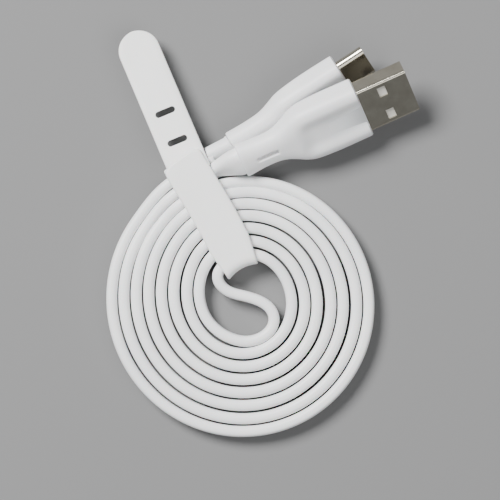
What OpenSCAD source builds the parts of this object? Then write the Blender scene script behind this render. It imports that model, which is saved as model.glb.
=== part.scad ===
// Flat charging cable, wound on edge into a flat double spiral and held by a silicone strap.
// Millimetres, +Z up. The coil lies on the XY plane and its winding centre is the origin.

/* [Cable] */
// Width of the flat cable, which stands on edge in the coil
cable_w = 5; // [4.4:0.1:5.6]
// Thickness of the flat cable
cable_t = 2.5; // [2.1:0.1:2.8]
// Radius of the outermost turn, at the strap
coil_r = 31.6; // [28:0.2:36]
// How far the spiral closes in with each turn
turn_pitch = 5.84; // [5.8:0.02:6.4]
// How far the inner turns are pushed out where the strap passes under them
strap_bulge = 2.9; // [2:0.1:3.2]

/* [Strap] */
// Thickness of the silicone strap
strap_t = 1.1; // [0.8:0.1:1.4]
// Width of the strap over the coil
strap_w = 9.6; // [8.6:0.2:10.6]
// Width of the strap where it turns down into the middle of the coil
strap_neck_w = 7.6; // [6.6:0.2:8]
// Length of the loose tail, from the hinge line to its round tip
tail_l = 30; // [24:1:36]
// Length of the adjustment slots, across the strap
slot_l = 4.7; // [4:0.1:5.4]
// Width of the adjustment slots
slot_w = 1.45; // [1.3:0.05:1.8]
// Distance from one slot to the next
slot_pitch = 7; // [6.4:0.2:7.6]

/* [USB-A plug] */
// Width of the metal shell
a_shell_w = 12; // [11.9:0.05:12.1]
// Height of the metal shell
a_shell_h = 4.5; // [4.4:0.05:4.6]
// Length of metal in front of the moulded grip
a_shell_l = 11.75; // [11:0.25:12.5]
// Sheet thickness of the shell
a_shell_wall = 0.3; // [0.25:0.05:0.4]
// Length of the moulded grip with its neck
a_grip_l = 29.5; // [28:0.5:33]

/* [USB-C plug] */
// Width of the metal shell
c_shell_w = 8.25; // [8.2:0.05:8.3]
// Height of the metal shell
c_shell_h = 2.4; // [2.4:0.05:2.6]
// Length of metal in front of the moulded grip
c_shell_l = 6.5; // [6.2:0.1:6.8]
// Sheet thickness of the shell
c_shell_wall = 0.25; // [0.2:0.05:0.3]
// Length of the moulded grip with its neck
c_grip_l = 29.4; // [28:0.4:33]

/* [Hidden] */

silicone_white = "white";
cable_white = "whitesmoke";
nickel = "silver";
gold = "gold";
fit_gap = 0.02;       // between pieces moulded round each other
boot_gap = 0.13;      // round the cable where it bends in a boot
slide_gap = 0.15;     // between pieces that move past each other
eps = 0.01;

// Coil: angles count from the strap's crossing, anticlockwise
strap_az = 119;
coil_start_az = 105;
bulge_az = 100;
lead_az = 138;        // where the two leads join the outermost turns
hump_flat = 5.3;      // half width of the stretch that is lifted over the strap
hump_foot = 8.4;
lift = strap_t + slide_gap;

function bump(az) = pow((1 + cos(az - bulge_az)) / 2, 3);
function nominal_r(turn_deg, inset) = coil_r - inset - turn_pitch * turn_deg / 360;
function strand_r(turn_deg, inset) =
    let (r = nominal_r(turn_deg, inset))
    r + strap_bulge * (1 - pow(r / coil_r, 4)) * bump(coil_start_az + turn_deg) * min(1, turn_deg / 60);
function on_circle(r, az) = [r * cos(az), r * sin(az)];

// The outline of the wound strands, from the leads once round and back to the leads
outline_step = 8;
first_turn_deg = lead_az - coil_start_az;
outer_edge = [for (k = [0 : 360 / outline_step])
    let (turn = first_turn_deg + k * outline_step)
    on_circle(strand_r(turn, 0) + cable_t / 2, coil_start_az + turn)];
hole_r = 8;
function hole_edge(az) = hole_r + 0.6 * cos(az - 60) + 1.2 * bump(az);

// Strap
strap_off = 2.8;      // the strap's centre line passes this far right of the coil's centre
hole_wall_x = 7.4;    // inner face of the strap inside the coil's hole
crease_x = 34.4;      // inner face of the strap outside the coil, at its centre line
crease_turn = 6;
tail_turn = -12;
tail_off = -1.1;
tail_pitch = 4;
widen_x = 14;
head_gap = 0.15;
head_pivot_x = hole_wall_x + strap_t / 2;
head_pivot_z = cable_w + lift + head_gap + strap_t / 2;
head_slope = 3.1;
peg_gap = 0.15;
hinge_gap = 0.15;
tab_l = 3.2;
tail_hinge_x = strap_t + hinge_gap + strap_t / 2;
tail_first_slot = 3.4;
crease_dist = crease_x - head_pivot_x;
tail_z = head_pivot_z + crease_dist * tan(head_slope) - strap_t - 0.05;

// Plugs: place of the grip's front face, then roll, pitch and heading
a_place = [25.6, 44, 9.2];
a_turn = [41, -2.5, 24];
c_place = [21.6, 51.3, 6.2];
c_turn = [46, -4.4, 33];

// Leads: x, y, z and the roll of the cable, which is 90 on edge
lead_front = [[-21.6, 18.8, 2.5, 90], [-19.3, 21.8, 3.0, 90], [-16.3, 24.5, 3.8, 90],
    [-12.8, 26.7, 3.85, 90], [-9.35, 28.2, 4.0, 86], [-6.4, 30.15, 4.8, 72]];
lead_rear = [[-23.5, 20.5, 2.5, 90], [-20.8, 23.95, 2.9, 90], [-17.6, 26.9, 3.7, 90],
    [-13.1, 29.8, 3.85, 90], [-8.9, 33, 3.9, 66]];
crossover = [[-6.3, 8.8, 3.8, 90], [-7, 6.8, 3.6, 90], [-6.85, 5.35, 3.2, 90], [-5.95, 3.55, 2.8, 90],
    [-4.16, 2.3, 2.6, 90], [-1.65, 1.9, 2.55, 90], [0.86, 1.3, 2.5, 90], [3.55, 0.4, 2.5, 90],
    [5.5, -1.1, 2.5, 90], [6.4, -3.26, 2.5, 90], [5.9, -5.6, 2.5, 90], [4.2, -7.4, 2.5, 90],
    [1.9, -8.5, 2.5, 90], [-0.6, -8.75, 2.5, 90]];

// Boots taper from the grip's neck down to the cable
boot_end_w = cable_w + 0.6;
boot_end_t = cable_t + 0.6;
a_boot_w = cable_w + 2;
a_boot_t = cable_t + 1.7;
c_boot_w = cable_w + 1.6;
c_boot_t = cable_t + 1.5;
sweep_n = 8;
boot_n = 24;
ring_n = 32;

// ---- helpers ----
function unit(v) = v / norm(v);
function xyz(p) = [p[0], p[1], p[2]];
function tangent(pts, i) =
    unit(xyz(pts[min(i + 1, len(pts) - 1)]) - xyz(pts[max(i - 1, 0)]));
function flatten(lists) = [for (part = lists) for (item = part) item];
function super(a, power) = sign(a) * pow(abs(a), 2 / power);
function oval(w, t, n, power) = [for (i = [0 : n - 1])
    let (az = 360 * (i + 0.5) / n)
    [w / 2 * super(cos(az), power), t / 2 * super(sin(az), power)]];
// A ring of the swept cable: its width turns about the route by the roll
function ring(p, way, section) =
    let (left = unit(cross([0, 0, 1], way)), up = cross(way, left),
        wide = left * cos(p[3]) + up * sin(p[3]), thick = up * cos(p[3]) - left * sin(p[3]))
    [for (s = section) xyz(p) + wide * s[0] + thick * s[1]];

// Two triangles for each pair of neighbouring points on rings j and j + 1
function wall_faces(m, n, from, flip) = [for (j = [0 : m - 2]) for (i = [0 : n - 1])
    let (a = from + j * n + i, b = from + j * n + (i + 1) % n, c = a + n, d = b + n)
    each flip ? [[a, d, c], [a, b, d]] : [[a, c, d], [a, d, b]]];

module skin(rings) {
    n = len(rings[0]);
    m = len(rings);
    first = [for (i = [0 : n - 1]) i];
    last = [for (i = [0 : n - 1]) m * n - 1 - i];
    polyhedron(points = flatten(rings), faces = concat([first], wall_faces(m, n, 0, false), [last]),
        convexity = 6);
}

// A sleeve: the outer rings, the same number of inner ones, and a rim at each end
module sleeve(outer, inner) {
    n = len(outer[0]);
    m = len(outer);
    k = m * n;
    rims = [for (i = [0 : n - 1])
        let (q = (i + 1) % n, e = (m - 1) * n)
        each [[i, q, k + q], [i, k + q, k + i], [e + q, e + i, k + e + i], [e + q, k + e + i, k + e + q]]];
    polyhedron(points = concat(flatten(outer), flatten(inner)),
        faces = concat(wall_faces(m, n, 0, false), wall_faces(m, n, k, true), rims), convexity = 8);
}

// The cable from one point of its route to another; neighbouring stretches share a whole ring
module cable_tube(pts, from, to) {
    skin([for (j = [from : to]) ring(pts[j], tangent(pts, j), oval(cable_w, cable_t, sweep_n, 5))]);
}

// Stations are x, half width, half thickness and the squareness of the section
module loft(stations) {
    skin([for (s = stations) [for (q = oval(2 * s[1], 2 * s[2], ring_n, s[3])) [s[0], q[0], q[1]]]]);
}

module round_bar(x0, x1, w, h, r) {
    translate([x0, 0, 0]) rotate([90, 0, 90]) linear_extrude(height = x1 - x0) round_rect(w, h, r);
}

module round_rect(w, h, r) {
    square([w - 2 * r, h], center = true);
    square([w, h - 2 * r], center = true);
    for (sx = [-1, 1]) for (sy = [-1, 1])
        translate([sx * (w / 2 - r), sy * (h / 2 - r)]) circle(r = r, $fn = 32);
}

module stadium(x0, x1, w, h) {
    translate([x0, 0, 0]) rotate([90, 0, 90]) linear_extrude(height = x1 - x0) {
        square([w - h, h], center = true);
        for (sx = [-1, 1]) translate([sx * (w - h) / 2, 0]) circle(r = h / 2, $fn = 32);
    }
}

module block(x0, x1, y0, y1, z0, z1) {
    translate([x0, y0, z0]) cube([x1 - x0, y1 - y0, z1 - z0]);
}

module rod(from, to, r) {
    way = to - from;
    translate(from)
        rotate([0, acos(way[2] / norm(way)), atan2(way[1], way[0])])
            cylinder(h = norm(way), r = r, $fn = 24);
}

module at_a() {
    translate(a_place) rotate(a_turn) children();
}

module at_c() {
    translate(c_place) rotate(c_turn) children();
}

function turned(v, turn) =
    let (a = [v[0], v[1] * cos(turn[0]) - v[2] * sin(turn[0]), v[1] * sin(turn[0]) + v[2] * cos(turn[0])],
        b = [a[0] * cos(turn[1]) + a[2] * sin(turn[1]), a[1], a[2] * cos(turn[1]) - a[0] * sin(turn[1])])
    [b[0] * cos(turn[2]) - b[1] * sin(turn[2]), b[0] * sin(turn[2]) + b[1] * cos(turn[2]), b[2]];
function collar(place, turn, l) = place + turned([-l, 0, 0], turn);

// ---- cable ----
module coil_plan() {
    inner_edge = [for (k = [0 : 360 / outline_step - 1])
        let (az = k * outline_step) on_circle(hole_edge(az), az)];
    difference() {
        polygon(outer_edge);
        polygon(inner_edge);
    }
}

module at_strap() {
    rotate([0, 0, strap_az]) translate([0, -strap_off, 0]) children();
}

// The strands rise over the strap that lies under them and come down again on both sides
module hump() {
    far = 60;
    rotate([90, 0, 90]) linear_extrude(height = far)
        polygon([[-far, 0], [-hump_foot, 0], [-hump_flat, lift], [hump_flat, lift], [hump_foot, 0], [far, 0],
            [far, cable_w], [hump_foot, cable_w], [hump_flat, cable_w + lift],
            [-hump_flat, cable_w + lift], [-hump_foot, cable_w], [-far, cable_w]]);
}

module cable_coil() {
    color(cable_white) difference() {
        intersection() {
            linear_extrude(height = cable_w + lift) coil_plan();
            at_strap() union() {
                hump();
                block(-60, eps, -60, 60, 0, cable_w);
            }
        }
        at_strap()
            block(hole_wall_x - 1, hole_wall_x + strap_t + 2 * slide_gap,
                -strap_neck_w / 2 - 0.4, strap_neck_w / 2 + 0.4, -eps, cable_w + 2 * lift);
    }
}

// From the lead on through the boot and straight in along the plug's neck
function plug_route(lead, place, turn, l, stop) =
    let (last = lead[len(lead) - 1], near = collar(place, turn, l + 1.2), mid = (xyz(last) + near) / 2)
    concat(lead, [concat(mid, (last[3] + turn[0]) / 2), concat(near, turn[0]),
        concat(collar(place, turn, l), turn[0]), concat(collar(place, turn, stop), turn[0])]);

module cable_crossover() {
    color(cable_white) cable_tube(crossover, 0, len(crossover) - 1);
}

module cable_lead_front() {
    color(cable_white) cable_tube(a_route(), 0, len(lead_front) - 1);
}

module cable_lead_rear() {
    color(cable_white) cable_tube(c_route(), 0, len(lead_rear) - 1);
}

// ---- plugs, shared modules ----
module boot(pts, from, w, t) {
    last = 3;
    sleeve([for (j = [0 : last])
            let (f = j / last)
            ring(pts[from + j], tangent(pts, from + j),
                oval(boot_end_w * (1 - f) + w * f, boot_end_t * (1 - f) + t * f, boot_n, 2.8))],
        [for (j = [0 : last])
            ring(pts[from + j], tangent(pts, from + j),
                oval(cable_w + 2 * boot_gap, cable_t + 2 * boot_gap, boot_n, 5))]);
}

wire_r = 0.5;
wire_pitch = 1.1;
function wire_y(i) = (i - 1.5) * wire_pitch;

// ---- USB-A plug, along +X, grip's front face at x = 0 ----
a_shell_back = 7;
a_inner_w = a_shell_w - 2 * a_shell_wall;
a_inner_h = a_shell_h - 2 * a_shell_wall;
a_window = [1.9, 2.7];
a_window_y = 3.35;
a_window_x = 5.5;
a_mould_w = a_shell_w + 0.9;
a_mould_h = a_shell_h + 0.9;
a_mid_w = a_shell_w - 1;
a_mid_h = a_shell_h + 0.1;
a_neck_w = cable_w + 1.5;
a_neck_h = cable_t + 0.9;
a_mould_front = 0.6;
a_cable_stop = 19;
a_contact_w = 1;
a_contact_t = 0.25;
a_contact_top = 0.05;
a_tail = 9;
a_wire_end = 10;
a_contacts = [-3.5, -1, 1, 3.5];
function a_route() = plug_route(lead_front, a_place, a_turn, a_grip_l, a_cable_stop);
function a_contact_l(i) = (i == 0 || i == 3) ? 9.9 : 8.9;
a_mid_x = 14.5;

module a_shell_block(grow) {
    round_bar(-a_shell_back - grow, a_shell_l, a_shell_w + 2 * grow, a_shell_h + 2 * grow, 0.6);
}

module usb_a_shell() {
    color(nickel) at_a() difference() {
        a_shell_block(0);
        round_bar(-a_shell_back - 1, a_shell_l + 1, a_inner_w, a_inner_h, 0.3);
        for (y = [-a_window_y, a_window_y])
            block(a_window_x - a_window[0] / 2, a_window_x + a_window[0] / 2,
                y - a_window[1] / 2, y + a_window[1] / 2, -a_shell_h, a_shell_h);
    }
}

module usb_a_tongue() {
    w = a_inner_w / 2 - fit_gap;
    h = a_inner_h / 2 - fit_gap;
    color("gainsboro") at_a() difference() {
        union() {
            round_bar(-a_shell_back, 0, 2 * w, 2 * h, 0.3);
            block(-eps, a_shell_l - 0.7, -w + 0.4, w - 0.4, a_contact_top + fit_gap, h - 0.04);
        }
        for (y = a_contacts)
            block(-a_shell_back - 1, eps, y - a_contact_w / 2 - fit_gap, y + a_contact_w / 2 + fit_gap,
                a_contact_top - a_contact_t - fit_gap, a_contact_top + fit_gap);
    }
}

module a_contact(i) {
    block(-a_tail, a_contact_l(i), a_contacts[i] - a_contact_w / 2, a_contacts[i] + a_contact_w / 2,
        a_contact_top - a_contact_t, a_contact_top);
}

module usb_a_power_contacts() {
    color(gold) at_a() for (i = [0, 3]) a_contact(i);
}

module usb_a_data_contacts() {
    color(gold) at_a() for (i = [1, 2]) a_contact(i);
}

a_solder_top = a_contact_top - a_contact_t - fit_gap;
module a_solder() {
    for (y = a_contacts)
        block(-a_wire_end + fit_gap, -a_tail + 0.9, y - 0.45, y + 0.45, a_solder_top - 0.8, a_solder_top);
}

module usb_a_solder_joints() {
    color("lightgrey") at_a() a_solder();
}

module a_wire(i) {
    rod([-a_cable_stop + fit_gap * 2, wire_y(i), 0], [-a_wire_end, a_contacts[i], a_solder_top - 0.4], wire_r);
}

module usb_a_wire_power() {
    color("red") at_a() a_wire(0);
}

module usb_a_wire_data_minus() {
    color("white") at_a() a_wire(1);
}

module usb_a_wire_data_plus() {
    color("green") at_a() a_wire(2);
}

module usb_a_wire_ground() {
    color("black") at_a() a_wire(3);
}

module usb_a_cable_end() {
    color(cable_white) cable_tube(a_route(), len(lead_front) - 1, len(lead_front) + 3);
}

module a_mould_outer(grow) {
    round_bar(-8.5 - grow, -a_mould_front, a_mould_w + 2 * grow, a_mould_h + 2 * grow, 1.2);
    round_bar(-a_mid_x - grow, -8.4, a_mid_w + 2 * grow, a_mid_h + 2 * grow, 1.2);
    round_bar(-a_cable_stop - grow, -a_mid_x + 0.1, a_neck_w + 2 * grow, a_neck_h + 2 * grow, 1.2);
}

module usb_a_inner_mould() {
    color("ivory") at_a() difference() {
        a_mould_outer(0);
        a_shell_block(fit_gap);
        block(-a_wire_end, -a_shell_back, -4.1, 4.1, a_solder_top - 0.9, a_contact_top + fit_gap);
        for (i = [0 : 3])
            rod([-a_cable_stop - 0.1, wire_y(i), 0], [-a_wire_end + 0.1, a_contacts[i], a_solder_top - 0.4],
                wire_r + fit_gap * 2);
    }
}

module usb_a_grip() {
    l = a_grip_l;
    nw = cable_w / 2;
    nt = cable_t / 2;
    gw = a_mould_w / 2;
    gt = a_mould_h / 2;
    color(silicone_white) at_a() difference() {
        loft([[-l, nw + 1.7, nt + 1.35, 2.4], [-l + 0.5, nw + 1.85, nt + 1.45, 2.4],
            [-l + 4.5, nw + 1.4, nt + 1.35, 2.4], [-21.5, nw + 1.4, nt + 1.4, 2.5],
            [-19.5, nw + 1.95, nt + 1.6, 2.6], [-17.5, gw - 1, gt + 0.35, 2.9],
            [-15.5, gw + 0.05, gt + 0.6, 3.4], [-13, gw + 0.65, gt + 0.7, 4],
            [-8, gw + 0.8, gt + 0.75, 4.6], [-1, gw + 0.7, gt + 0.7, 5], [0, gw + 0.5, gt + 0.55, 5]]);
        a_mould_outer(fit_gap);
        round_bar(-1, 1, a_mould_w + 2 * fit_gap, a_mould_h + 2 * fit_gap, 1.2);
        round_bar(-l - 1, -a_cable_stop + eps, cable_w + 2 * fit_gap, cable_t + 2 * fit_gap, 0.8);
    }
}

module usb_a_boot() {
    color(silicone_white) boot(a_route(), len(lead_front) - 1, a_boot_w, a_boot_t);
}

// ---- USB-C plug, along +X, grip's front face at x = 0 ----
c_shell_back = 5;
c_inner_w = c_shell_w - 2 * c_shell_wall;
c_inner_h = c_shell_h - 2 * c_shell_wall;
c_slot_w = 6.9;
c_slot_h = 0.8;
c_slot_x = 0.8;
c_contact_w = 0.25;
c_contact_t = 0.15;
c_contact_z = 0.42;
c_pin_pitch = 0.5;
c_upper_pins = [1, 4, 5, 6, 7, 9, 12];
c_lower_pins = [1, 4, 5, 9, 12];
c_tail = 8;
c_contact_tip = 4.6;
c_latch_y = 3.5;
c_board = [-12.5, -5.1, 3.4, 0.4];
c_mould_back = 14.5;
c_mould_w = c_shell_w + 0.95;
c_mould_h = c_shell_h + 1.6;
c_neck_w = cable_w + 1;
c_neck_h = cable_t + 0.7;
c_cable_stop = 16.5;
function c_route() = plug_route(lead_rear, c_place, c_turn, c_grip_l, c_cable_stop);
function c_pin_y(i) = (i - 6.5) * c_pin_pitch;

module usb_c_shell() {
    color(nickel) at_c() difference() {
        stadium(-c_shell_back, c_shell_l, c_shell_w, c_shell_h);
        stadium(-c_shell_back - 1, c_shell_l + 1, c_inner_w, c_inner_h);
    }
}

module c_row(pins, side, grow) {
    for (i = pins)
        block(-c_tail - grow, c_contact_tip + grow,
            c_pin_y(i) - c_contact_w / 2 - grow, c_pin_y(i) + c_contact_w / 2 + grow,
            side > 0 ? c_contact_z - grow : -c_contact_z - c_contact_t - grow,
            side > 0 ? c_contact_z + c_contact_t + grow : -c_contact_z + grow);
}

module c_latch(grow) {
    for (side = [-1, 1])
        block(-4.5 - grow, 5.2 + grow, side * c_latch_y - 0.12 - grow, side * c_latch_y + 0.12 + grow,
            -0.3 - grow, 0.3 + grow);
}

module usb_c_insulator() {
    color("dimgray") at_c() difference() {
        stadium(-c_shell_back, c_shell_l - 0.3, c_inner_w - 2 * fit_gap, c_inner_h - 2 * fit_gap);
        block(c_slot_x, c_shell_l, -c_slot_w / 2, c_slot_w / 2, -c_slot_h / 2, c_slot_h / 2);
        c_row(c_upper_pins, 1, fit_gap);
        c_row(c_lower_pins, -1, fit_gap);
        c_latch(fit_gap);
    }
}

module usb_c_upper_contacts() {
    color(gold) at_c() c_row(c_upper_pins, 1, 0);
}

module usb_c_lower_contacts() {
    color(gold) at_c() c_row(c_lower_pins, -1, 0);
}

module usb_c_latch_springs() {
    color(nickel) at_c() c_latch(0);
}

module c_board_block(grow) {
    block(c_board[0] - grow, c_board[1] + grow, -c_board[2] - grow, c_board[2] + grow,
        -c_board[3] - grow, c_board[3] + grow);
}

module usb_c_board() {
    color("darkgreen") at_c() c_board_block(0);
}

module usb_c_resistor() {
    color("black") at_c() block(-11.4, -10.4, -0.25, 0.25, c_board[3] + fit_gap, c_board[3] + 0.35);
}

module c_wire(i) {
    rod([-c_cable_stop + fit_gap * 2, wire_y(i), 0], [c_board[0] - fit_gap * 2, wire_y(i), 0], wire_r);
}

module usb_c_wire_power() {
    color("red") at_c() c_wire(0);
}

module usb_c_wire_data_minus() {
    color("white") at_c() c_wire(1);
}

module usb_c_wire_data_plus() {
    color("green") at_c() c_wire(2);
}

module usb_c_wire_ground() {
    color("black") at_c() c_wire(3);
}

module usb_c_cable_end() {
    color(cable_white) cable_tube(c_route(), len(lead_rear) - 1, len(lead_rear) + 3);
}

module c_mould_outer(grow) {
    round_bar(-c_mould_back - grow, -0.5, c_mould_w + 2 * grow, c_mould_h + 2 * grow, 1.2);
    round_bar(-c_cable_stop - grow, -c_mould_back + 0.1, c_neck_w + 2 * grow, c_neck_h + 2 * grow, 1.2);
}

module usb_c_inner_mould() {
    color("ivory") at_c() difference() {
        c_mould_outer(0);
        stadium(-c_shell_back - fit_gap, 1, c_shell_w + 2 * fit_gap, c_shell_h + 2 * fit_gap);
        block(c_board[0] - 0.1, -c_shell_back, -c_board[2] - fit_gap, c_board[2] + fit_gap,
            -c_board[3] - 0.4, c_board[3] + 0.4);
        for (i = [0 : 3])
            rod([-c_cable_stop - 0.1, wire_y(i), 0], [c_board[0], wire_y(i), 0], wire_r + fit_gap * 2);
    }
}

module usb_c_grip() {
    l = c_grip_l;
    nw = cable_w / 2;
    nt = cable_t / 2;
    gw = c_mould_w / 2;
    gt = c_mould_h / 2;
    color(silicone_white) at_c() difference() {
        loft([[-l, nw + 1.25, nt + 1.25, 2.4], [-l + 0.5, nw + 1.4, nt + 1.35, 2.4],
            [-l + 4.5, nw + 1.1, nt + 1.25, 2.4], [-21.5, nw + 1.05, nt + 1.25, 2.5],
            [-19.5, nw + 1.35, nt + 1.35, 2.6], [-17.5, gw - 0.1, gt + 0.75, 2.9],
            [-15.5, gw + 0.55, gt + 0.85, 3.4], [-13, gw + 0.8, gt + 0.9, 4],
            [-8, gw + 0.9, gt + 0.95, 4.6], [-1, gw + 0.75, gt + 0.9, 5], [0, gw + 0.55, gt + 0.75, 5]]);
        c_mould_outer(fit_gap);
        round_bar(-1, 1, c_mould_w + 2 * fit_gap, c_mould_h + 2 * fit_gap, 1.2);
        round_bar(-l - 1, -c_cable_stop + eps, cable_w + 2 * fit_gap, cable_t + 2 * fit_gap, 0.8);
    }
}

module usb_c_boot() {
    color(silicone_white) boot(c_route(), len(lead_rear) - 1, c_boot_w, c_boot_t);
}

// ---- strap, in its own frame: x runs out along it from the coil's centre ----
module strap_plan(x0, x1) {
    polygon([[x0, -strap_neck_w / 2], [widen_x, -strap_w / 2], [x1, -strap_w / 2],
        [x1, strap_w / 2], [widen_x, strap_w / 2], [x0, strap_neck_w / 2]]);
}

module at_crease() {
    translate([crease_x, 0, 0]) rotate([0, 0, crease_turn]) children();
}

// Frame of the head: x runs along it from its hinge line
module at_head() {
    translate([head_pivot_x, 0, head_pivot_z]) rotate([0, -head_slope, 0]) children();
}

// Frame of the tail: x runs along it from its hinge line
module at_tail(pitch) {
    at_crease() translate([tail_hinge_x, 0, tail_z]) rotate([0, pitch, 0]) rotate([0, 0, tail_turn])
        translate([0, tail_off, 0]) children();
}

module slot(x, l, w) {
    translate([x, 0, -5]) linear_extrude(height = 10) {
        square([w, l - w], center = true);
        for (side = [-1, 1]) translate([0, side * (l - w) / 2]) circle(r = w / 2, $fn = 24);
    }
}

peg_x = tail_first_slot - slot_pitch;

module strap_loop() {
    far = 20;
    color(silicone_white) at_strap() union() {
        // under the coil
        linear_extrude(height = strap_t) intersection() {
            strap_plan(hole_wall_x, crease_x + far);
            translate([crease_x, 0]) rotate([0, 0, crease_turn])
                translate([-2 * far - far, -far]) square([3 * far + strap_t, 2 * far]);
        }
        // up through the coil's hole
        block(hole_wall_x, hole_wall_x + strap_t, -strap_neck_w / 2, strap_neck_w / 2, 0,
            head_pivot_z - strap_t / 2 - hinge_gap);
        // up round the outside of the coil
        at_crease() block(0, strap_t, -strap_w / 2, strap_w / 2, 0, tail_z);
        // the tab under the head, with the slot that the peg holds in
        difference() {
            intersection() {
                at_head() block(crease_dist - tab_l, crease_dist + 4, -strap_w / 2, strap_w / 2,
                    -strap_t * 1.5 - 0.05, -strap_t / 2 - 0.05);
                at_crease() block(-tab_l, strap_t, -far, far, 0, far);
            }
            at_tail(0) slot(peg_x, slot_l, slot_w);
        }
    }
}

module strap_head() {
    far = 40;
    color(silicone_white) at_strap() union() {
        at_head() rotate([90, 0, 0])
            translate([0, 0, -strap_neck_w / 2]) cylinder(h = strap_neck_w, r = strap_t / 2, $fn = 32);
        intersection() {
            at_head() translate([0, 0, -strap_t / 2]) linear_extrude(height = strap_t)
                polygon([[0, -strap_neck_w / 2], [widen_x - head_pivot_x, -strap_w / 2], [far, -strap_w / 2],
                    [far, strap_w / 2], [widen_x - head_pivot_x, strap_w / 2], [0, strap_neck_w / 2]]);
            at_crease() block(-far, strap_t, -far, far, 0, far);
        }
        intersection() {
            at_tail(0) translate([peg_x, 0, 0]) linear_extrude(height = 10, center = true) {
                pw = slot_w - 2 * peg_gap;
                pl = slot_l - 2 * peg_gap;
                square([pw, pl - pw], center = true);
                for (side = [-1, 1]) translate([0, side * (pl - pw) / 2]) circle(r = pw / 2, $fn = 24);
            }
            at_head() block(0, far, -far, far, -strap_t * 1.5, -strap_t / 2 + eps);
        }
    }
}

module strap_tail() {
    far = 80;
    tip_r = strap_w / 2 - 0.1;
    color(silicone_white) at_strap() difference() {
        union() {
            intersection() {
                at_tail(tail_pitch) translate([0, 0, -strap_t / 2]) linear_extrude(height = strap_t) {
                    translate([-far + tail_l - tip_r, -tip_r]) square([far, 2 * tip_r]);
                    translate([tail_l - tip_r, 0]) circle(r = tip_r, $fn = 48);
                }
                at_crease() translate([tail_hinge_x, 0, tail_z]) rotate([0, tail_pitch, 0])
                    block(0, far, -far, far, -far, far);
            }
            at_crease() translate([tail_hinge_x, 0, tail_z]) rotate([90, 0, 0])
                translate([0, 0, -strap_w / 2 + 0.4]) cylinder(h = strap_w - 0.8, r = strap_t / 2, $fn = 32);
        }
        at_tail(tail_pitch) for (k = [0 : 1]) slot(tail_first_slot + k * slot_pitch, slot_l, slot_w);
    }
}

cable_coil();
cable_crossover();
cable_lead_front();
cable_lead_rear();
usb_a_shell();
usb_a_tongue();
usb_a_power_contacts();
usb_a_data_contacts();
usb_a_solder_joints();
usb_a_wire_power();
usb_a_wire_ground();
usb_a_wire_data_plus();
usb_a_wire_data_minus();
usb_a_cable_end();
usb_a_inner_mould();
usb_a_grip();
usb_a_boot();
usb_c_shell();
usb_c_insulator();
usb_c_upper_contacts();
usb_c_lower_contacts();
usb_c_latch_springs();
usb_c_board();
usb_c_resistor();
usb_c_wire_power();
usb_c_wire_ground();
usb_c_wire_data_plus();
usb_c_wire_data_minus();
usb_c_cable_end();
usb_c_inner_mould();
usb_c_grip();
usb_c_boot();
strap_loop();
strap_head();
strap_tail();
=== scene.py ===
import math

import bmesh
import bpy
from mathutils import Euler, Matrix, Vector


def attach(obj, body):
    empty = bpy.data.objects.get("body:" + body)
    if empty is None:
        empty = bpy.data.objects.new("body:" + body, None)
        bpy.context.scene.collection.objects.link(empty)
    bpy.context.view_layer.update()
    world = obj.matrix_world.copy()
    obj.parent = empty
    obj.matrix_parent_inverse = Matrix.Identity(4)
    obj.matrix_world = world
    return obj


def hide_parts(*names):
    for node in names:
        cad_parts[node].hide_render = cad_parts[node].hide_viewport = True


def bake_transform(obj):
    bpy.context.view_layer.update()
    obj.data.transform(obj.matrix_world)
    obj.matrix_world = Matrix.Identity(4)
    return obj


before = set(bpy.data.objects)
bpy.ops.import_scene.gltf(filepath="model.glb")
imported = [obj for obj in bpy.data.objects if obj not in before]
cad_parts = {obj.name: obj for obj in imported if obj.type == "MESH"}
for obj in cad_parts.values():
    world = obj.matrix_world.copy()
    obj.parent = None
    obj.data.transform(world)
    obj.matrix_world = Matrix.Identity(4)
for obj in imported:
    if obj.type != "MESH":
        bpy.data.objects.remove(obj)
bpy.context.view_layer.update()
mm = 0.001
print("frame loaded")


def toLinear(hexText):  # sRGB hex to a linear colour
    parts = [int(hexText[i:i + 2], 16) / 255 for i in (0, 2, 4)]
    return [c / 12.92 if c <= 0.04045 else ((c + 0.055) / 1.055) ** 2.4 for c in parts] + [1]


# one node with its settings; an input may be a value or another node's socket
def addNode(tree, kind, settings=None, inputs=None):
    node = tree.nodes.new(kind)
    for name, value in (settings or {}).items():
        setattr(node, name, value)
    for name, value in (inputs or {}).items():
        if isinstance(value, bpy.types.NodeSocket):
            tree.links.new(value, node.inputs[name])
        else:
            node.inputs[name].default_value = value
    return node


def newMaterial(name):
    mat = bpy.data.materials.new(name)
    mat.use_nodes = True
    mat.node_tree.nodes.clear()
    return mat, mat.node_tree


def finishMaterial(tree, shader):
    addNode(tree, "ShaderNodeOutputMaterial", inputs={"Surface": shader.outputs[0]})


# shade to colour, with the noise's dull ends cut off at low and high
def tintOf(tree, noise, look, low, high):
    tint = addNode(tree, "ShaderNodeValToRGB", inputs={"Fac": noise.outputs["Fac"]})
    for stop, place, key in zip(tint.color_ramp.elements, (low, high), ("shade", "colour")):
        stop.position = place
        stop.color = toLinear(look[key])
    return tint


mouldedLook = {"mottleLow": 0.3, "mottleHigh": 0.7, "roughSpread": 0.06, "lightReach": 0.6}
platedLook = {"drawnOut": 0.06, "cloud": 3, "cloudLow": 0.35, "cloudHigh": 0.7,
              "smoother": 0.05, "rougher": 0.07, "bump": 0.12, "depth": 0.01}


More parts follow.
